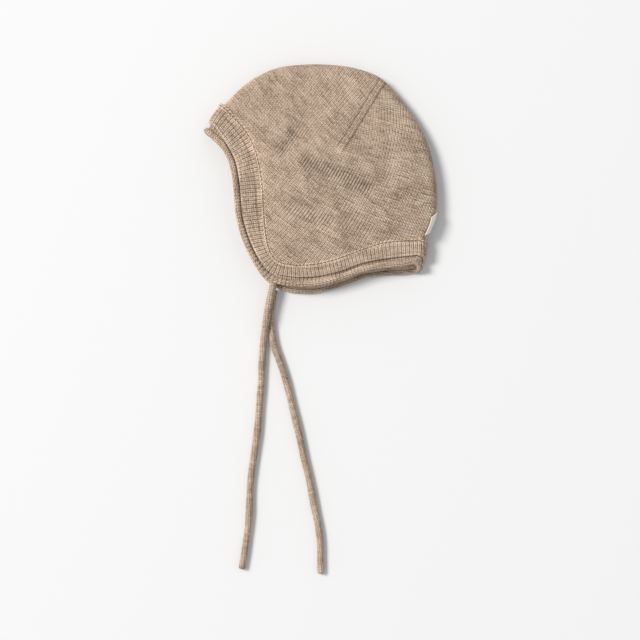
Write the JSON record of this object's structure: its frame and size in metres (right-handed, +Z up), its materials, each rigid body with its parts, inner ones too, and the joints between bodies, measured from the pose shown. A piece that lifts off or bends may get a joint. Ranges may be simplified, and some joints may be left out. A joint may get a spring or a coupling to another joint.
{
  "type": "knitted baby bonnet",
  "caption": "Fine-knit baby bonnet with ear flaps lying on its side, hollow, edged with a sewn band and a rolled edge, with a knitted tie at each flap.",
  "frame": {"origin": "on the surface it lies on, under the middle of the bonnet without its ties", "axes": "+X to the back of the head, +Y to the crown, +Z up out of the side it lies on"},
  "size_m": [0.1754, 0.3837, 0.0221],
  "materials": {
    "crown_knit": "fine stocking-stitch knit of melange wool, matte and slightly fuzzy",
    "band_knit": "doubled knit of the same wool, linked on with a chain of stitches, its free edge curled",
    "tie_knit": "narrow tubular knit cord of the same wool",
    "label_cloth": "thin woven label tape, bare"
  },
  "bodies": {
    "root": {"body": "crown_knit", "edge_band": "band_knit", "rolled_edge": "band_knit", "tie_upper": "tie_knit", "tie_lower": "tie_knit", "label_tab": "label_cloth"}
  },
  "joints": []
}
